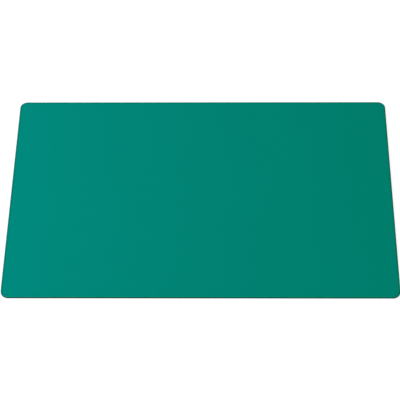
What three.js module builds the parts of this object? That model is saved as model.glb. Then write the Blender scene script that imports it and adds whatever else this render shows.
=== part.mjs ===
// A plain cutting mat: one flat sheet of flexible vinyl, the same on both sides, with rounded corners
// and a softened edge all round. Millimetres, +Z up, X along the long side.
// The origin is the middle of the underside, where the mat rests on the table.

import * as THREE from "three";

// Driving dimensions
const MAT_WIDTH = 450;
const MAT_DEPTH = 300;
const MAT_THICKNESS = 3;
const CORNER_RADIUS = 9; // of the outline, seen from above
const EDGE_RADIUS = 0.5; // where each face rolls over into the side wall

// Facets that stand for the round stretches
const CORNER_FACETS = 16; // round one corner of the outline
const EDGE_FACETS = 4; // from a face round to the side wall

const VINYL = new THREE.MeshStandardMaterial({
  name: "green_vinyl",
  color: 0x008377,
  roughness: 0.6,
  metalness: 0,
});

// The mat's outline seen from above, counter-clockwise: four corner arcs, and the straight sides
// that join one arc to the next.
function outline() {
  const arcCentreX = MAT_WIDTH / 2 - CORNER_RADIUS;
  const arcCentreY = MAT_DEPTH / 2 - CORNER_RADIUS;
  const quarterTurn = Math.PI / 2;
  const shape = new THREE.Shape();
  shape.absarc(arcCentreX, arcCentreY, CORNER_RADIUS, 0, quarterTurn);
  shape.absarc(-arcCentreX, arcCentreY, CORNER_RADIUS, quarterTurn, 2 * quarterTurn);
  shape.absarc(-arcCentreX, -arcCentreY, CORNER_RADIUS, 2 * quarterTurn, 3 * quarterTurn);
  shape.absarc(arcCentreX, -arcCentreY, CORNER_RADIUS, 3 * quarterTurn, 4 * quarterTurn);
  return shape;
}

// The outline raised to the mat's thickness. The bevel lies inside the outline and inside the
// thickness, so that the mat measures exactly its driving dimensions.
function matSheet() {
  const geometry = new THREE.ExtrudeGeometry(outline(), {
    depth: MAT_THICKNESS - 2 * EDGE_RADIUS,
    bevelEnabled: true,
    bevelThickness: EDGE_RADIUS,
    bevelSize: EDGE_RADIUS,
    bevelOffset: -EDGE_RADIUS,
    bevelSegments: EDGE_FACETS,
    curveSegments: CORNER_FACETS / 2, // three.js gives an arc two facets for each curve segment
  });
  geometry.translate(0, 0, EDGE_RADIUS);
  const mesh = new THREE.Mesh(geometry, VINYL);
  mesh.name = "mat_sheet";
  return mesh;
}

const cuttingMat = new THREE.Group();
cuttingMat.name = "cutting_mat";
cuttingMat.add(matSheet());

export default cuttingMat;
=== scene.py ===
# %% [markdown]
# A plain cutting mat, step by step
#
# The object is one flat sheet of flexible vinyl with rounded corners, photographed from the front
# and from above on white. Its size was settled before this script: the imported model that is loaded
# here is the exact solid, and Blender only gives it a surface, a table, light and a camera.
# Everything is in metres, with X along the long side and Z up.

# %% Load the frame
import math

import bmesh
import bpy
from mathutils import Matrix, Vector


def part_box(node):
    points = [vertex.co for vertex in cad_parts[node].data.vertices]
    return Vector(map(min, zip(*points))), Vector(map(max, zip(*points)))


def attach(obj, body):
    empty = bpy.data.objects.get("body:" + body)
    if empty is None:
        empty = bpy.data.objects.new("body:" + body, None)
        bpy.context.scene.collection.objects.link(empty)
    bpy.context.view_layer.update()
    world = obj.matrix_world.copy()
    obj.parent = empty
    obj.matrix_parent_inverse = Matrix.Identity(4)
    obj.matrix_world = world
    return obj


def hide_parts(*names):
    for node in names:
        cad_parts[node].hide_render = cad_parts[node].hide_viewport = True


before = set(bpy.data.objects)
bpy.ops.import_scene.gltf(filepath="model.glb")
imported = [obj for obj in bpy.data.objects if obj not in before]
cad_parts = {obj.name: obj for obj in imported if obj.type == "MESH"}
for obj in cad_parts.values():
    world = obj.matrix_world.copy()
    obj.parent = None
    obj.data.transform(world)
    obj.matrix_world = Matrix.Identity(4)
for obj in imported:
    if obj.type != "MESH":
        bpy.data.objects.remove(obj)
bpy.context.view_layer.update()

MM = 0.001

# %% [markdown]
# The camera comes first, because it decides how much of each surface shows. The photograph was
# taken with a long lens, so the sides of the mat run together only a little towards the back.
# A camera can be placed by hand, or worked out from the picture: the four edges of a rectangle of
# known size give the lens, the distance and the three angles. The values below come from such a
# fit. The camera stands a little to the right of the middle and leans a little, and that is why
# the mat's left side slants more than its right.
#
# A camera looks along its own -Z, with Y up. One helper gives a direction from two angles, and the
# other puts something at a distance in that direction and turns it to look back. The lamp is
# placed by the same two later.

# %% Place the camera
LENS = 150.1  # millimetres, on a sensor 36 mm wide
LOOK_AT = Vector((-1.6 * MM, -5.5 * MM, 0))
CAMERA_DISTANCE = 1.9651
CAMERA_AZIMUTH = math.radians(1.364)  # how far round to the right of straight in front
CAMERA_ELEVATION = math.radians(49.993)
CAMERA_ROLL = math.radians(-1.046)


def direction(azimuth, elevation):
    """The unit vector from the mat towards something at that azimuth and elevation."""
    level = math.cos(elevation)
    return Vector((math.sin(azimuth) * level, -math.cos(azimuth) * level, math.sin(elevation)))


def facing(target, towards, distance):
    """The place of something that stands off from the target in that direction and looks at it."""
    turn = (-towards).to_track_quat("-Z", "Y").to_matrix().to_4x4()
    return Matrix.Translation(target + distance * towards) @ turn


camera_data = bpy.data.cameras.new("camera")
camera_data.lens = LENS
camera = bpy.data.objects.new("camera", camera_data)
towards_camera = direction(CAMERA_AZIMUTH, CAMERA_ELEVATION)
leaning = Matrix.Rotation(CAMERA_ROLL, 4, "Z")
camera.matrix_world = facing(LOOK_AT, towards_camera, CAMERA_DISTANCE) @ leaning
bpy.context.scene.collection.objects.link(camera)
bpy.context.scene.camera = camera
print("camera stands at, m:", [round(value, 3) for value in camera.matrix_world.translation])

# %% [markdown]
# Both the sheet's shape and its material are node trees. Adding a node by hand takes a line for the
# node, one for each option and one for each input, so a helper does all three. An input is found by
# its name, its identifier or its position. A value that is a socket is linked to it, and anything
# else is filled in.

# %% A helper that adds a node
def socket_of(sockets, key):
    """The socket with that name, identifier or position."""
    if isinstance(key, int):
        return sockets[key]
    return next(socket for socket in sockets if key in (socket.identifier, socket.name))


def add_node(tree, kind, inputs=None, **options):
    """A new node in the tree, with its options set and its inputs linked or filled in."""
    node = tree.nodes.new(kind)
    for name, value in options.items():
        setattr(node, name, value)
    for key, value in (inputs or {}).items():
        socket = socket_of(node.inputs, key)
        if isinstance(value, bpy.types.NodeSocket):
            tree.links.new(value, socket)
        else:
            socket.default_value = value
    return node


print("helper ready:", add_node.__name__)

# %% [markdown]
# The sheet could stay the solid itself, but that one's faces are long slivers from edge to edge,
# which can neither ripple nor carry a value that changes across them. It could also be a cube with
# a Bevel and a Subdivision Surface, where the corner radius is hard to hit. The shape follows
# a plain rule, so Geometry Nodes build it from its five sizes: a grid is pulled into the outline,
# its border is drawn out ring by ring over the edge and down the side wall, and a second grid
# closes the underside.
#
# A tree's inputs are its sizes. The sheet's own three come from the loaded solid, and the two radii
# are the ones that the solid was made with.

# %% The sheet's tree and its inputs
sheet_low, sheet_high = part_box("mat_sheet")
sheet_size = sheet_high - sheet_low
SHEET_VALUES = {
    "Width": sheet_size.x,
    "Depth": sheet_size.y,
    "Thickness": sheet_size.z,
    "Corner Radius": 9 * MM,
    "Edge Radius": 0.5 * MM,
    "Columns": 201,
    "Rows": 137,
    "Edge Steps": 5,
    "Wall Steps": 4,
    "Unevenness": 0.05 * MM,
    "Swell Length": 55 * MM,
    "Seed": 7.0,
}
SOCKET_KINDS = {float: "NodeSocketFloat", int: "NodeSocketInt"}

sheet_tree = bpy.data.node_groups.new("cut sheet", "GeometryNodeTree")
for name, value in SHEET_VALUES.items():
    sheet_tree.interface.new_socket(name, in_out="INPUT", socket_type=SOCKET_KINDS[type(value)])
sheet_tree.interface.new_socket("Material", in_out="INPUT", socket_type="NodeSocketMaterial")
sheet_tree.interface.new_socket("Geometry", in_out="OUTPUT", socket_type="NodeSocketGeometry")
given = sheet_tree.nodes.new("NodeGroupInput").outputs
print("the tree takes", ", ".join(socket.name for socket in given if socket.name))

# %% [markdown]
# A grid's points are evenly spaced, but the sheet needs them close together at its border, where
# it curves, and far apart in the flat middle. Each coordinate u, from -1 to 1, becomes
# u * (1 + k - k * u * u). That leaves the middle and the ends where they are, and crowds the points
# towards the ends. Vector Math nodes do it for both coordinates at once.

# %% Space the grid's points
CROWDING = 0.35  # k above; at 0.5 the outermost points would all but meet


def vector(tree, operation, *values):
    """The result of a Vector Math node."""
    node = add_node(tree, "ShaderNodeVectorMath", dict(enumerate(values)), operation=operation)
    return node.outputs[0]


grid = add_node(sheet_tree, "GeometryNodeMeshGrid",
                {"Size X": 2.0, "Size Y": 2.0, "Vertices X": given["Columns"], "Vertices Y": given["Rows"]})
even = add_node(sheet_tree, "GeometryNodeInputPosition").outputs[0]
squared = vector(sheet_tree, "MULTIPLY", even, even)
stretch = vector(sheet_tree, "MULTIPLY_ADD", squared, (-CROWDING,) * 3, (1 + CROWDING,) * 3)
crowded = vector(sheet_tree, "MULTIPLY", even, stretch)
print("points in the grid:", SHEET_VALUES["Columns"] * SHEET_VALUES["Rows"])

# %% [markdown]
# The next steps are sums, and a sum is easier to read as a function than as a chain of nodes. Each
# of these four helpers is one node: a sum of plain numbers, a vector times a number, three numbers
# put together as a vector, and a vector taken apart again.

# %% Helpers for sums
def number(tree, operation, *values):
    """The result of a Math node."""
    return add_node(tree, "ShaderNodeMath", dict(enumerate(values)), operation=operation).outputs[0]


def scaled(tree, value, scale):
    """A vector times a number."""
    node = add_node(tree, "ShaderNodeVectorMath", {0: value, "Scale": scale}, operation="SCALE")
    return node.outputs[0]


def combined(tree, x, y, z):
    """A vector from its three numbers."""
    return add_node(tree, "ShaderNodeCombineXYZ", {"X": x, "Y": y, "Z": z}).outputs[0]


def separated(tree, value):
    """The three numbers of a vector."""
    return add_node(tree, "ShaderNodeSeparateXYZ", {"Vector": value}).outputs


print("helpers ready:", ", ".join(made.__name__ for made in (number, scaled, combined, separated)))

# %% [markdown]
# The flat face stops where the edge starts to roll over, one edge radius inside the outline. Seen
# from above, the outline is four arcs joined by straight lines. All of it lies one corner radius
# away from the rectangle that has the arcs' centres as its corners. So a point is first limited to
# that rectangle, and one formula then serves the corners and the straight sides.

# %% The lines that the outline follows
half_size = scaled(sheet_tree, combined(sheet_tree, given["Width"], given["Depth"], 0.0), 0.5)
corner_inset = combined(sheet_tree, given["Corner Radius"], given["Corner Radius"], 0.0)
arc_centres = vector(sheet_tree, "SUBTRACT", half_size, corner_inset)
face_radius = number(sheet_tree, "SUBTRACT", given["Corner Radius"], given["Edge Radius"])
edge_inset = combined(sheet_tree, given["Edge Radius"], given["Edge Radius"], 0.0)
half_face = vector(sheet_tree, "SUBTRACT", half_size, edge_inset)


def nearest_centre(tree, point, centres):
    """The point limited to the rectangle that has the corners' arc centres as its corners."""
    return vector(tree, "MAXIMUM", vector(tree, "MINIMUM", point, centres), scaled(tree, centres, -1.0))


straight_side = SHEET_VALUES["Depth"] - 2 * SHEET_VALUES["Corner Radius"]
print("straight part of a short side, mm:", round(straight_side / MM, 2))

# %% [markdown]
# To round the grid's corners, think of it as rectangles inside each other. A point's share says
# which one it is on: 0 in the middle and 1 on the border. Blown up to the border, the point is
# moved onto the arc round its corner's centre, and then brought back to its own rectangle. Cutting
# the corners off with a boolean would be quicker to write, but it would leave ragged faces there.

# %% Pull the grid into the outline
SMALLEST_SHARE = 1e-6  # keeps the middle point from a division by nothing

distances = separated(sheet_tree, vector(sheet_tree, "ABSOLUTE", crowded))
share = number(sheet_tree, "MAXIMUM", distances[0], distances[1])
share = number(sheet_tree, "MAXIMUM", share, SMALLEST_SHARE)
on_face = vector(sheet_tree, "MULTIPLY", crowded, half_face)
on_border = scaled(sheet_tree, on_face, number(sheet_tree, "DIVIDE", 1.0, share))
centre = nearest_centre(sheet_tree, on_border, arc_centres)
outward = vector(sheet_tree, "NORMALIZE", vector(sheet_tree, "SUBTRACT", on_border, centre))
rounded = vector(sheet_tree, "ADD", centre, scaled(sheet_tree, outward, face_radius))
face_shape = add_node(sheet_tree, "GeometryNodeSetPosition",
                      {"Geometry": grid.outputs["Mesh"], "Position": scaled(sheet_tree, rounded, share)})
print("nodes so far:", len(sheet_tree.nodes))

# %% [markdown]
# The rim goes from the face over the top edge, down the wall and round the bottom edge. It can be
# swept along the outline as a profile, but then its points have to be welded to the grid's. Drawn
# out of the grid's own border it is joined from the start. A Repeat zone extrudes the open border
# once for each step, and stores the number of the step on the new points as "ring". Nothing moves
# yet: the number is all that the next step needs.

# %% Draw the rim out of the border, ring by ring
ring_count = number(sheet_tree, "MULTIPLY_ADD", given["Edge Steps"], 2.0, given["Wall Steps"])
zone_start = sheet_tree.nodes.new("GeometryNodeRepeatInput")
zone_end = sheet_tree.nodes.new("GeometryNodeRepeatOutput")
zone_start.pair_with_output(zone_end)
sheet_tree.links.new(ring_count, zone_start.inputs["Iterations"])
sheet_tree.links.new(face_shape.outputs[0], zone_start.inputs["Geometry"])

faces_beside = add_node(sheet_tree, "GeometryNodeInputMeshEdgeNeighbors").outputs[0]
open_edges = add_node(sheet_tree, "FunctionNodeCompare", {"A_INT": faces_beside, "B_INT": 1},
                      data_type="INT", operation="EQUAL").outputs[0]
drawn_out = add_node(sheet_tree, "GeometryNodeExtrudeMesh",
                     {"Mesh": zone_start.outputs["Geometry"], "Selection": open_edges, "Offset Scale": 0.0},
                     mode="EDGES")
ring_number = number(sheet_tree, "ADD", zone_start.outputs["Iteration"], 1.0)
numbered = add_node(sheet_tree, "GeometryNodeStoreNamedAttribute",
                    {"Geometry": drawn_out.outputs["Mesh"], "Selection": drawn_out.outputs["Top"],
                     "Name": "ring", "Value": ring_number}, data_type="FLOAT", domain="POINT")
sheet_tree.links.new(numbered.outputs[0], zone_end.inputs["Geometry"])
print("rings:", 2 * SHEET_VALUES["Edge Steps"] + SHEET_VALUES["Wall Steps"])

# %% [markdown]
# A ring's number says how far it has come along the profile: a quarter turn outwards for the top
# edge, straight down for the wall, and a quarter turn back in for the bottom edge. A Map Range node
# turns the number into how far each of the three has come. The face's own points are on ring 0, so
# they are at the start of all three.

# %% How far each ring has come
def ramp(tree, value, start, end, low, high):
    """A number that goes from low to high as the value goes from start to end, and stays there."""
    settings = {"Value": value, "From Min": start, "From Max": end, "To Min": low, "To Max": high}
    return add_node(tree, "ShaderNodeMapRange", settings).outputs[0]


ring = add_node(sheet_tree, "GeometryNodeInputNamedAttribute", {"Name": "ring"}, data_type="FLOAT").outputs[0]
wall_start = given["Edge Steps"]
wall_end = number(sheet_tree, "ADD", wall_start, given["Wall Steps"])
top_turn = ramp(sheet_tree, ring, 0.0, wall_start, 0.0, math.pi / 2)
wall_share = ramp(sheet_tree, ring, wall_start, wall_end, 0.0, 1.0)
bottom_turn = ramp(sheet_tree, ring, wall_end, ring_count, 0.0, math.pi / 2)
print("degrees of edge between two rings:", 90 / SHEET_VALUES["Edge Steps"])

# %% [markdown]
# With E the edge radius, a point of the rim lies E * (sin top + cos bottom - 1) outside the face's
# border. Its height follows in the same way: the two edges give E * (cos top - sin bottom + 1), and
# the wall between them gives what is left of it. On ring 0 that comes to the face's own place, at
# its border and at the sheet's full height.

# %% Where each ring lies
edge_radius = given["Edge Radius"]
wall_height = number(sheet_tree, "MULTIPLY_ADD", edge_radius, -2.0, given["Thickness"])
turned_out = number(sheet_tree, "ADD", number(sheet_tree, "SINE", top_turn),
                    number(sheet_tree, "COSINE", bottom_turn))
out = number(sheet_tree, "MULTIPLY", edge_radius, number(sheet_tree, "SUBTRACT", turned_out, 1.0))
turned_down = number(sheet_tree, "SUBTRACT", number(sheet_tree, "COSINE", top_turn),
                     number(sheet_tree, "SINE", bottom_turn))
wall_left = number(sheet_tree, "MULTIPLY", wall_height, number(sheet_tree, "SUBTRACT", 1.0, wall_share))
height = number(sheet_tree, "MULTIPLY_ADD", edge_radius, turned_down, wall_left)
height = number(sheet_tree, "ADD", height, edge_radius)
straight_wall = SHEET_VALUES["Thickness"] - 2 * SHEET_VALUES["Edge Radius"]
print("wall between the two edges, mm:", round(straight_wall / MM, 2))

# %% [markdown]
# No rolled sheet is exactly even. A faint swell of a few hundredths of a millimetre, some
# centimetres long, is what makes light on a real sheet look less than ruled. The noise only takes
# thickness away, so the sheet stays inside its solid, and it fades to nothing at the underside,
# which lies flat on the table. Its four-dimensional kind has a W input, and the seed goes there, so
# that the swell is the same on every run.

# %% Place every point, with a faint swell
SEEN_FROM_ABOVE = (1.0, 1.0, 0.0)  # leaves a place's height out

position = add_node(sheet_tree, "GeometryNodeInputPosition").outputs[0]
here = vector(sheet_tree, "MULTIPLY", position, SEEN_FROM_ABOVE)
centre_here = nearest_centre(sheet_tree, here, arc_centres)
from_centre = vector(sheet_tree, "SUBTRACT", here, centre_here)
outward_here = vector(sheet_tree, "NORMALIZE", from_centre)
swell = add_node(sheet_tree, "ShaderNodeTexNoise",
                 {"Vector": here, "W": given["Seed"], "Detail": 1.0, "Roughness": 0.4,
                  "Scale": number(sheet_tree, "DIVIDE", 1.0, given["Swell Length"])},
                 noise_dimensions="4D").outputs[0]
sunk = number(sheet_tree, "MULTIPLY", swell, given["Unevenness"])
height_share = number(sheet_tree, "DIVIDE", height, given["Thickness"])
sunk_height = number(sheet_tree, "SUBTRACT", height, number(sheet_tree, "MULTIPLY", sunk, height_share))
drawn_offset = vector(sheet_tree, "ADD", scaled(sheet_tree, outward_here, out),
                      combined(sheet_tree, 0.0, 0.0, sunk_height))
shell = add_node(sheet_tree, "GeometryNodeSetPosition",
                 {"Geometry": zone_end.outputs["Geometry"], "Offset": drawn_offset})
print("most that the swell can take off, mm:", round(SHEET_VALUES["Unevenness"] / MM, 3))

# %% [markdown]
# The material has to know the cut edge from the face. It could tell by the way a surface faces, but
# the border of the face faces the same way as its middle. So the mesh carries a value of its own:
# "inset" is a point's distance inside the mat's outline, and it stops growing one corner radius in.

# %% Store the distance from the outline
centre_distance = add_node(sheet_tree, "ShaderNodeVectorMath", {0: from_centre},
                           operation="LENGTH").outputs["Value"]
inset = number(sheet_tree, "SUBTRACT", given["Corner Radius"], centre_distance)
measured = add_node(sheet_tree, "GeometryNodeStoreNamedAttribute",
                    {"Geometry": shell.outputs[0], "Name": "inset", "Value": inset},
                    data_type="FLOAT", domain="POINT")
print("nodes so far:", len(sheet_tree.nodes))

# %% [markdown]
# Whoever bakes the material into images needs the sheet laid out flat, as a UV map. An automatic
# unwrap would cut it into islands of its own choice. Here the face fills the width of the image with
# the rim folded out round it, and the only seam is at the bottom edge. A point of the rim is folded
# out by what it has walked along the profile, less what it stands out already.

# %% Lay the face and the rim out flat
MAP_MARGIN = 0.01  # of the image's side

rim_walked = number(sheet_tree, "MULTIPLY", edge_radius, number(sheet_tree, "ADD", top_turn, bottom_turn))
rim_walked = number(sheet_tree, "MULTIPLY_ADD", wall_height, wall_share, rim_walked)
rim_length = number(sheet_tree, "MULTIPLY_ADD", edge_radius, math.pi, wall_height)
folded_out = scaled(sheet_tree, outward_here, number(sheet_tree, "SUBTRACT", rim_walked, out))
flat = vector(sheet_tree, "ADD", here, folded_out)

face_sides = separated(sheet_tree, scaled(sheet_tree, half_face, 2.0))
island_width = number(sheet_tree, "MULTIPLY_ADD", rim_length, 2.0, face_sides[0])
island_depth = number(sheet_tree, "MULTIPLY_ADD", rim_length, 2.0, face_sides[1])
map_scale = number(sheet_tree, "DIVIDE", 1 - 2 * MAP_MARGIN, island_width)
island_share = number(sheet_tree, "MULTIPLY", island_depth, map_scale)
island_middle = number(sheet_tree, "MULTIPLY_ADD", island_share, 0.5, MAP_MARGIN)


def laid_out(geometry, place, scale, middle):
    """Stores the place, scaled, as the geometry's UV map, with its middle at that height of the image."""
    moved = vector(sheet_tree, "ADD", scaled(sheet_tree, place, scale),
                   combined(sheet_tree, 0.5, middle, 0.0))
    return add_node(sheet_tree, "GeometryNodeStoreNamedAttribute",
                    {"Geometry": geometry, "Name": "OFBake", "Value": moved},
                    data_type="FLOAT2", domain="CORNER").outputs[0]


upper_part = laid_out(measured.outputs[0], flat, map_scale, island_middle)
print("nodes so far:", len(sheet_tree.nodes))

# %% [markdown]
# The underside is the grid once more, turned over, at height 0. Its border falls exactly on the last
# ring. It hardly ever shows, so in the UV map it takes the strip that the face leaves.

# %% Close the underside
strip_share = number(sheet_tree, "SUBTRACT", 1 - 3 * MAP_MARGIN, island_share)
strip_scale = number(sheet_tree, "DIVIDE", strip_share, face_sides[1])
strip_middle = number(sheet_tree, "MULTIPLY_ADD", strip_share, -0.5, 1 - MAP_MARGIN)
turned_over = add_node(sheet_tree, "GeometryNodeFlipFaces", {"Mesh": face_shape.outputs[0]}).outputs[0]
underside = add_node(sheet_tree, "GeometryNodeStoreNamedAttribute",
                     {"Geometry": turned_over, "Name": "inset", "Value": inset},
                     data_type="FLOAT", domain="POINT").outputs[0]
underside = laid_out(underside, here, strip_scale, strip_middle)
print("nodes so far:", len(sheet_tree.nodes))

# %% [markdown]
# The two parts are joined, and the points where they meet become one, so that the sheet is
# a single closed body. Shade Smooth rounds the look of the rim's facets. Realize Instances changes
# nothing here, but an exporter drops whatever is still an instance, so the tree ends with it and
# with the material.

# %% Join, weld and finish the tree
WELD_DISTANCE = 0.001 * MM

both = add_node(sheet_tree, "GeometryNodeJoinGeometry")
sheet_tree.links.new(upper_part, both.inputs[0])
sheet_tree.links.new(underside, both.inputs[0])
welded = add_node(sheet_tree, "GeometryNodeMergeByDistance",
                  {"Geometry": both.outputs[0], "Distance": WELD_DISTANCE}).outputs[0]
cleaned = add_node(sheet_tree, "GeometryNodeRemoveAttribute", {"Geometry": welded, "Name": "ring"}).outputs[0]
smooth = add_node(sheet_tree, "GeometryNodeSetShadeSmooth", {"Geometry": cleaned}).outputs[0]
realized = add_node(sheet_tree, "GeometryNodeRealizeInstances", {"Geometry": smooth}).outputs[0]
dressed = add_node(sheet_tree, "GeometryNodeSetMaterial",
                   {"Geometry": realized, "Material": given["Material"]}).outputs[0]
add_node(sheet_tree, "NodeGroupOutput", {"Geometry": dressed})
print("nodes in the finished tree:", len(sheet_tree.nodes))

# %% [markdown]
# The material is matt vinyl, green all over. Its colour is even, but never perfectly: the
# pigment drifts a little from place to place. The rolls leave a fine pebbled grain on both faces,
# and the knife leaves fine upright marks on the cut wall. The border at the back and the sides is
# darker, the rounded edge in front carries a painted highlight, and the cut wall is painted in
# shade. These effects are built from shader node groups that give out a number, so that one can be
# placed more than once with other values. One helper starts such a group, and one places it.

# %% Helpers for shader groups
def shader_group(name, inputs, output):
    """A new shader group with those number and vector inputs and one number output, ready to fill."""
    group = bpy.data.node_groups.new(name, "ShaderNodeTree")
    for socket_name, default in inputs.items():
        kind = "NodeSocketVector" if default is None else "NodeSocketFloat"
        socket = group.interface.new_socket(socket_name, in_out="INPUT", socket_type=kind)
        if default is not None:
            socket.default_value = default
    group.interface.new_socket(output, in_out="OUTPUT", socket_type="NodeSocketFloat")
    return group, group.nodes.new("NodeGroupInput").outputs


def placed(tree, group, **inputs):
    """The output of a group placed in a tree, with its inputs given by name."""
    named = {name.capitalize(): value for name, value in inputs.items()}
    return add_node(tree, "ShaderNodeGroup", named, node_tree=group).outputs[0]


print("helpers ready:", shader_group.__name__, "and", placed.__name__)

# %% [markdown]
# Mottle is for all that is nearly even: colour, the strength of the painted highlight in front,
# and sheen. It is a soft noise that goes a little above and below nothing, so that whatever it is
# added to keeps its average. Its seed lets one group serve several effects that don't follow each other.

# %% Mottle: a soft variation about zero
mottle, asked = shader_group("mottle", {"Place": None, "Patch": 10 * MM, "Seed": 0.0}, "Amount")
patches = add_node(mottle, "ShaderNodeTexNoise",
                   {"Vector": asked["Place"], "W": asked["Seed"], "Detail": 2.0, "Roughness": 0.5,
                    "Scale": number(mottle, "DIVIDE", 1.0, asked["Patch"])}, noise_dimensions="4D")
about_zero = number(mottle, "MULTIPLY_ADD", patches.outputs[0], 2.0, -1.0)
add_node(mottle, "NodeGroupOutput", {"Amount": about_zero})
print("mottle takes", ", ".join(socket.name for socket in asked if socket.name))

# %% [markdown]
# Grain is what the roll's etched surface presses into the vinyl: pebbles about a millimetre across,
# with narrow valleys between them. Plain noise has no valleys. A cell texture has them, and
# a little noise added to the place that it is read at keeps its cells from lining up.

# %% Grain: low pebbles with narrow valleys between them
SHAKES_PER_PEBBLE = 0.4
NOISE_AVERAGE = (0.5, 0.5, 0.5)
TOP_ENDS = 0.15  # distance from a pebble's middle, in pebbles, where it starts to fall
VALLEY_STARTS = 0.65  # and where it has reached the valley

grain, asked = shader_group("grain", {"Place": None, "Pitch": 1 * MM}, "Height")
per_metre = number(grain, "DIVIDE", 1.0, asked["Pitch"])
shaken = add_node(grain, "ShaderNodeTexNoise",
                  {"Vector": asked["Place"], "Detail": 1.0,
                   "Scale": number(grain, "MULTIPLY", per_metre, SHAKES_PER_PEBBLE)})
shake = vector(grain, "SUBTRACT", shaken.outputs["Color"], NOISE_AVERAGE)
shift = scaled(grain, shake, asked["Pitch"])
cells = add_node(grain, "ShaderNodeTexVoronoi",
                 {"Vector": vector(grain, "ADD", asked["Place"], shift), "Scale": per_metre,
                  "Smoothness": 0.6, "Randomness": 0.9}, feature="SMOOTH_F1")
pebble = add_node(grain, "ShaderNodeMapRange",
                  {"Value": cells.outputs["Distance"], "From Min": TOP_ENDS, "From Max": VALLEY_STARTS,
                   "To Min": 1.0, "To Max": 0.0}, interpolation_type="SMOOTHSTEP").outputs[0]
add_node(grain, "NodeGroupOutput", {"Height": pebble})
print("grain takes", ", ".join(socket.name for socket in asked if socket.name))

# %% [markdown]
# The mat is cut to size with a blade that goes straight down, and each nick in the blade draws
# a line down the wall. Noise makes such lines when it is read at a place whose height has been
# flattened: along the wall it changes quickly, and down the wall hardly at all.

# %% Knife marks: fine lines that run straight down the wall
FLATTENED = 0.04  # how much slower the pattern changes down the wall than along it

knife_marks, asked = shader_group("knife marks", {"Place": None, "Pitch": 1 * MM}, "Height")
upright = vector(knife_marks, "MULTIPLY", asked["Place"], (1.0, 1.0, FLATTENED))
lines = add_node(knife_marks, "ShaderNodeTexNoise",
                 {"Vector": upright, "Scale": number(knife_marks, "DIVIDE", 1.0, asked["Pitch"]),
                  "Detail": 3.0, "Roughness": 0.6})
add_node(knife_marks, "NodeGroupOutput", {"Height": lines.outputs[0]})
print("knife marks take", ", ".join(socket.name for socket in asked if socket.name))

# %% [markdown]
# Three things happen near the outline, each over its own width: the cut wall with its painted
# shade, the painted highlight on the rounded edge and the darker border. One group gives a mask for all
# three, out of the inset that the sheet carries.
# It is one at the outline and fades smoothly to nothing over the band.

# %% Near edge: a mask along the outline
near_edge, asked = shader_group("near edge", {"Inset": 0.0, "Band": 1 * MM}, "Share")
faded = add_node(near_edge, "ShaderNodeMapRange",
                 {"Value": asked["Inset"], "From Min": 0.0, "From Max": asked["Band"],
                  "To Min": 1.0, "To Max": 0.0}, interpolation_type="SMOOTHSTEP").outputs[0]
add_node(near_edge, "NodeGroupOutput", {"Share": faded})
print("near edge takes", ", ".join(socket.name for socket in asked if socket.name))

# %% [markdown]
# Now the material itself. Everything reads Object coordinates, so the patterns are fixed to the mat
# whichever way it is looked at. First come the masks: the wall, the rounded edge and the border from
# the inset, the side in front from Y, and from Z the foot of the wall, which gets painted contact shadow.

# %% The vinyl: where things are
WALL_BAND = 0.12 * MM
ARRIS_BAND = 0.6 * MM
RIM_BAND = 3.2 * MM
FRONT_BAND = 6 * MM
# how high up the wall the painted contact shadow reaches
CONTACT_SHADE_HEIGHT = 1.2 * MM

vinyl = bpy.data.materials.new("green_vinyl")
vinyl.use_nodes = True
vinyl.node_tree.nodes.clear()
paint = vinyl.node_tree
spot = add_node(paint, "ShaderNodeTexCoord").outputs["Object"]
how_far_in = add_node(paint, "ShaderNodeAttribute", attribute_name="inset").outputs["Fac"]
on_wall = placed(paint, near_edge, inset=how_far_in, band=WALL_BAND)
on_arris = placed(paint, near_edge, inset=how_far_in, band=ARRIS_BAND)
on_rim = placed(paint, near_edge, inset=how_far_in, band=RIM_BAND)
spot_parts = separated(paint, spot)
at_front = ramp(paint, spot_parts[1], sheet_low.y, sheet_low.y + FRONT_BAND, 1.0, 0.0)
# share of painted contact shadow, full at the foot of the wall
contact_shade_share = ramp(paint, spot_parts[2], 0.0, CONTACT_SHADE_HEIGHT, 1.0, 0.0)
print("nodes in the material so far:", len(paint.nodes))

# %% [markdown]
# A colour is changed by a factor, never replaced, so that one change can lie on another. The plain
# kind makes it lighter or darker by a share. The tinting kind has a factor for each of red, green
# and blue, because the darker border loses more blue than green, and the painted highlight adds more green
# than blue.

# %% Helpers for colours
UNCHANGED = (1.0, 1.0, 1.0, 1)


def mixed(tree, share, first, second):
    """The first colour where the share is 0, and the second where it is 1."""
    colours = {"Factor_Float": share, "A_Color": first, "B_Color": second}
    return add_node(tree, "ShaderNodeMix", colours, data_type="RGBA").outputs[2]


def shaded(colour, share, change):
    """The colour times 1 + change where the share is 1, and as it was where the share is 0."""
    return scaled(paint, colour, number(paint, "MULTIPLY_ADD", share, change, 1.0))


def tinted(colour, share, tint):
    """The colour times the tint where the share is 1, and as it was where the share is 0."""
    return vector(paint, "MULTIPLY", colour, mixed(paint, share, UNCHANGED, tint))


print("helpers ready:", ", ".join(made.__name__ for made in (mixed, shaded, tinted)))

# %% [markdown]
# The vinyl is a deep green that leans towards blue, so dense that it sends back no red at all. It
# drifts over a hand's breadth and has faint specks. The border at the back and at the two sides is
# darker. In front, the rounded edge carries a painted highlight instead, pale and green. The cut wall
# is the same vinyl painted far darker, as painted shade, and darker still where it meets the table,
# as painted contact shadow.

# %% The vinyl: colour
PIGMENT = (0.0, 0.227, 0.178)
# painted shade: the cut wall is the face's vinyl, painted far darker to stand in for its shade
WALL_SHADE_COLOUR = (0.0, 0.052, 0.038)
DRIFT = 0.02  # share of the colour that comes and goes over a hand's breadth
DRIFT_PATCH = 70 * MM
SPECKS = 0.012  # and from speck to speck
SPECK_PATCH = 4 * MM
# darkens the border along the back and the sides, more in blue than in green
DARKER_BORDER = (1.0, 0.66, 0.52, 1)  # the border along the back and the sides
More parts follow.
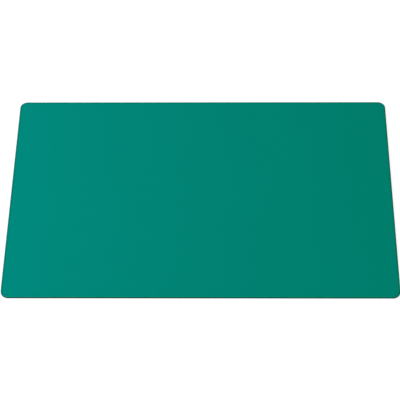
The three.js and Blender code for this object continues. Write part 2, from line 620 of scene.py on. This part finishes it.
# painted highlight: the rounded edge in front is lightened as if light caught it
FRONT_EDGE_HIGHLIGHT = (1.0, 1.85, 1.55, 1)  # the rounded edge in front
HIGHLIGHT_PATCH = 12 * MM
HIGHLIGHT_CHANGE = 0.6  # how much stronger or weaker the painted highlight is from place to place
# painted contact shadow: darkens the wall's foot where it meets the table
CONTACT_SHADE = (1.0, 0.65, 0.65, 1)  # the wall where it meets the table

drift = placed(paint, mottle, place=spot, patch=DRIFT_PATCH, seed=1.0)
specks = placed(paint, mottle, place=spot, patch=SPECK_PATCH, seed=2.0)
# the painted highlight's strength changes from place to place
highlight_mottle = placed(paint, mottle, place=spot, patch=HIGHLIGHT_PATCH, seed=4.0)
highlight_strength = number(paint, "MULTIPLY_ADD", highlight_mottle, HIGHLIGHT_CHANGE, 1.0)
# the darker border, left out in front
darker_border = number(paint, "MULTIPLY", on_rim, number(paint, "SUBTRACT", 1.0, at_front))
# painted highlight along the rounded edge, in front only
front_highlight = number(paint, "MULTIPLY", number(paint, "MULTIPLY", on_arris, highlight_strength), at_front)
face_colour = shaded(shaded(PIGMENT, drift, DRIFT), specks, SPECKS)
face_colour = tinted(tinted(face_colour, darker_border, DARKER_BORDER), front_highlight, FRONT_EDGE_HIGHLIGHT)
# the wall: painted shade, with painted contact shadow at its foot
wall_painted_shade = tinted(WALL_SHADE_COLOUR, contact_shade_share, CONTACT_SHADE)
surface = mixed(paint, on_wall, face_colour, wall_painted_shade)
print("nodes in the material so far:", len(paint.nodes))

# %% [markdown]
# Gloss is where an even sheet still looks alive. The tops of the pebbles are a little smoother than
# the valleys, the sheen changes in long streaks the way the sheet went through the rolls, and the
# cut wall is rougher than both. All three go into one roughness.

# %% The vinyl: gloss
FACE_ROUGHNESS = 0.48
WALL_ROUGHNESS = 0.66
TOP_POLISH = 0.05  # how much smoother the tops of the pebbles are
PEBBLE_PITCH = 1.1 * MM
SHEEN_DRIFT = 0.03
SHEEN_PATCH = 25 * MM
ALONG_ROLL = (0.25, 1.0, 1.0)  # draws the streaks out along the sheet

pebbles = placed(paint, grain, place=spot, pitch=PEBBLE_PITCH)
along = vector(paint, "MULTIPLY", spot, ALONG_ROLL)
streaks = placed(paint, mottle, place=along, patch=SHEEN_PATCH, seed=3.0)
face_gloss = number(paint, "MULTIPLY_ADD", pebbles, -TOP_POLISH, FACE_ROUGHNESS)
face_gloss = number(paint, "ADD", face_gloss, number(paint, "MULTIPLY", streaks, SHEEN_DRIFT))
gloss = add_node(paint, "ShaderNodeMix",
                 {"Factor_Float": on_wall, "A_Float": face_gloss, "B_Float": WALL_ROUGHNESS}).outputs[0]
print("nodes in the material so far:", len(paint.nodes))

# %% [markdown]
# The grain and the knife marks are far too fine for the mesh, so they are relief: a Bump node tilts
# the light's reflection as if the surface went up and down. With a Distance of one metre, the
# height that goes in is the real height, and the values can be read as millimetres.

# %% The vinyl: relief
GRAIN_HEIGHT = 0.006 * MM
MARK_HEIGHT = 0.03 * MM
MARK_PITCH = 0.6 * MM

marks = placed(paint, knife_marks, place=spot, pitch=MARK_PITCH)
face_relief = number(paint, "MULTIPLY", pebbles, GRAIN_HEIGHT)
face_relief = number(paint, "MULTIPLY", face_relief, number(paint, "SUBTRACT", 1.0, on_wall))
wall_relief = number(paint, "MULTIPLY", number(paint, "MULTIPLY", marks, MARK_HEIGHT), on_wall)
relief = number(paint, "ADD", face_relief, wall_relief)
raised = add_node(paint, "ShaderNodeBump", {"Height": relief, "Distance": 1.0, "Strength": 1.0})
print("nodes in the material so far:", len(paint.nodes))

# %% [markdown]
# One shader takes it all. Matt vinyl shines very little, far less than the shader's usual 0.5. What
# it does reflect straight back has gone through the green skin, and so the shine has that tint. At
# a low angle it still turns white, as on any plastic. Both are plain values on the shader's own
# sockets, because they are the same all over.

# %% The vinyl: shader
SHINE = 0.1
SHINE_TINT = (0.0, 1.0, 0.9, 1)

shader = add_node(paint, "ShaderNodeBsdfPrincipled",
                  {"Base Color": surface, "Roughness": gloss, "Normal": raised.outputs[0],
                   "Specular IOR Level": SHINE, "Specular Tint": SHINE_TINT})
add_node(paint, "ShaderNodeOutputMaterial", {"Surface": shader.outputs[0]})
print("nodes in the finished material:", len(paint.nodes))

# %% [markdown]
# The tree is run by a modifier on an empty mesh. Its inputs are set before the first evaluation,
# each by the identifier of its socket, because the modifier doesn't know them by name. What comes
# out is copied as a plain mesh, so that nothing has to be evaluated again later, and the object
# that carried the modifier goes.

# %% Run the tree and keep the plain mesh
runner = bpy.data.objects.new("sheet_runner", bpy.data.meshes.new("sheet_runner"))
bpy.context.scene.collection.objects.link(runner)
modifier = runner.modifiers.new("cut sheet", "NODES")
modifier.node_group = sheet_tree
asked_for = {**SHEET_VALUES, "Material": vinyl}
for item in sheet_tree.interface.items_tree:
    if item.in_out == "INPUT":
        modifier[item.identifier] = asked_for[item.name]

evaluated = runner.evaluated_get(bpy.context.evaluated_depsgraph_get())
sheet_mesh = bpy.data.meshes.new_from_object(evaluated)
bpy.data.objects.remove(runner)
sheet_mesh.name = "vinyl_sheet"
mat = bpy.data.objects.new("vinyl_sheet", sheet_mesh)
bpy.context.scene.collection.objects.link(mat)
print("points", len(sheet_mesh.vertices), "faces", len(sheet_mesh.polygons))

# %% [markdown]
# A mesh that looks right can still have a hole or lie inside out. So it is measured. A closed body
# has no open edge, and its volume is positive when its faces point outwards and comes close to
# width times depth times thickness. The inset has to start at 0, and the face may be uneven by less
# than the swell can take.

# %% Test the mesh
CUBIC_CENTIMETRE = 1e-6

tested = bmesh.new()
tested.from_mesh(sheet_mesh)
open_count = sum(not edge.is_manifold for edge in tested.edges)
volume = tested.calc_volume(signed=True)
tested.free()
insets = [value.value for value in sheet_mesh.attributes["inset"].data]
face_heights = [point.co.z for point, inside in zip(sheet_mesh.vertices, insets)
                if inside > RIM_BAND and point.co.z > sheet_size.z / 2]
box_volume = math.prod(sheet_size)
print("open edges:", open_count)
print("volume, cubic centimetres:", round(volume / CUBIC_CENTIMETRE, 2),
      "in a box of", round(box_volume / CUBIC_CENTIMETRE, 2))
print("inset, mm:", round(min(insets) / MM, 3), "to", round(max(insets) / MM, 3))
print("height of the face, mm:", round(min(face_heights) / MM, 3), "to", round(max(face_heights) / MM, 3))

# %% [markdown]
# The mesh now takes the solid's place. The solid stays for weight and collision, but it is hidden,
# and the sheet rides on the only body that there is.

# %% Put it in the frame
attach(mat, "root")
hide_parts("mat_sheet")
gaps = [corner - low for corner, low in zip(mat.bound_box[0], sheet_low)]
print("sheet's lowest corner less the solid's, mm:", [round(gap / MM, 3) for gap in gaps])

# %% [markdown]
# The picture's ground is pure white, with hardly a shadow. A white floor under plain lamps never
# gets there: it either stays grey or has to be lit so brightly that the mat washes out. Such
# pictures are taken on a table lit from below, so the floor glows by itself, a little short of
# white, and the lamps do the rest. Its own colour is dark, because that is what keeps a shadow faint.

# %% The table
FLOOR_SIDE = 12.0
FLOOR_GAP = 0.02 * MM  # below the underside, so that the two don't share a plane
FLOOR_COLOUR = (0.25, 0.25, 0.25, 1)
FLOOR_GLOW = (0.855, 0.83, 0.87, 1)
FLOOR_ROUGHNESS = 0.9

half = FLOOR_SIDE / 2
corners = [(x, y, -FLOOR_GAP) for x, y in ((-half, -half), (half, -half), (half, half), (-half, half))]
floor_mesh = bpy.data.meshes.new("floor")
floor_mesh.from_pydata(corners, [], [(0, 1, 2, 3)])
floor = bpy.data.objects.new("floor", floor_mesh)
bpy.context.scene.collection.objects.link(floor)
floor_material = bpy.data.materials.new("floor")
floor_material.use_nodes = True
floor_inputs = floor_material.node_tree.nodes["Principled BSDF"].inputs
floor_inputs["Base Color"].default_value = FLOOR_COLOUR
floor_inputs["Roughness"].default_value = FLOOR_ROUGHNESS
floor_inputs["Specular IOR Level"].default_value = 0.0
floor_inputs["Emission Color"].default_value = FLOOR_GLOW
floor_inputs["Emission Strength"].default_value = 1.0
floor_mesh.materials.append(floor_material)
print("floor:", FLOOR_SIDE, "m square,", round(FLOOR_GAP / MM, 2), "mm under the mat")

# %% [markdown]
# The mat is paler and bluer on its left than on its right, so one cool lamp stands on that side. It
# is large and not far away. A small one would leave a bright spot, and one far off would light
# both ends alike.

# %% The softbox on the left
BOX_AZIMUTH = math.radians(-88)
BOX_ELEVATION = math.radians(42)
BOX_DISTANCE = 1.3
BOX_SIDE = 0.9
BOX_WATTS = 14.3
BOX_TINT = (0.58, 0.633, 1)

box_data = bpy.data.lights.new("left_softbox", "AREA")
box_data.shape = "SQUARE"
box_data.size = BOX_SIDE
box_data.energy = BOX_WATTS
box_data.color = BOX_TINT
softbox = bpy.data.objects.new("left_softbox", box_data)
softbox.matrix_world = facing(Vector(), direction(BOX_AZIMUTH, BOX_ELEVATION), BOX_DISTANCE)
bpy.context.scene.collection.objects.link(softbox)
print("softbox stands at, m:", [round(value, 2) for value in softbox.matrix_world.translation])

# %% [markdown]
# The rest of the light comes from all round, as in a tent of white cloth. It is the world's
# background, dark at the table's height and full further up. It could be a dome of mesh with a glow,
# which would only be slower. The light is so even that the renderer needs no list of its bright
# places, and without one it wastes no samples on them.

# %% The tent
TENT_LIGHT = (0.995, 1.157, 0.813)
TENT_FOOT = 0.0  # height, as the sine of the elevation, where the tent starts
TENT_FULL = 0.7  # and where it is fully bright

world = bpy.data.worlds.new("studio")
world.use_nodes = True
world.cycles.sampling_method = "NONE"
bpy.context.scene.world = world
sky = world.node_tree
look = add_node(sky, "ShaderNodeTexCoord").outputs["Generated"]
tent = ramp(sky, separated(sky, look)[2], TENT_FOOT, TENT_FULL, 0.0, 1.0)
print("tent is full from, degrees up:", round(math.degrees(math.asin(TENT_FULL)), 1))

# %% [markdown]
# A photographer keeps a flat thing from shining by hanging a black cloth where its surface would
# mirror the lights into the lens. That is straight behind the mat, as high as the camera is in
# front. Without this flag the face has a grey veil. Its border is soft, so that no edge of it shows.

# %% The flag
FLAG_CORE = math.cos(math.radians(22))  # quite dark up to this far from its middle
FLAG_RIM = math.cos(math.radians(50))  # and gone from here on
FLAG_DARKNESS = 0.95

mirrored = Vector((-towards_camera.x, -towards_camera.y, towards_camera.z))
nearness = add_node(sky, "ShaderNodeVectorMath", {0: look, 1: mirrored},
                    operation="DOT_PRODUCT").outputs["Value"]
flag = add_node(sky, "ShaderNodeMapRange",
                {"Value": nearness, "From Min": FLAG_RIM, "From Max": FLAG_CORE,
                 "To Min": 1.0, "To Max": 1.0 - FLAG_DARKNESS}, interpolation_type="SMOOTHSTEP").outputs[0]
print("flag hangs towards", [round(value, 2) for value in mirrored])

# %% [markdown]
# What lights the mat and what is seen behind it are two things. Tent and flag are for the light
# alone. A ray that comes straight from the camera finds a plain white backdrop instead, which the
# Light Path node decides.

# %% The backdrop
SEEN_BACKDROP = (1.0, 1.0, 1.0, 1)

tent_light = scaled(sky, scaled(sky, TENT_LIGHT, tent), flag)
seen = add_node(sky, "ShaderNodeLightPath").outputs["Is Camera Ray"]
sky.links.new(mixed(sky, seen, tent_light, SEEN_BACKDROP), sky.nodes["Background"].inputs["Color"])
print("nodes in the world:", len(sky.nodes))

# %% [markdown]
# Blender's usual view transform rolls bright colours off towards a soft white, which suits scenes
# with strong light. Here white has to be white, and the green has to stay as dense as it is, so the
# plain transform is the right one.

# %% The view transform
bpy.context.scene.view_settings.view_transform = "Standard"
print("view transform:", bpy.context.scene.view_settings.view_transform)
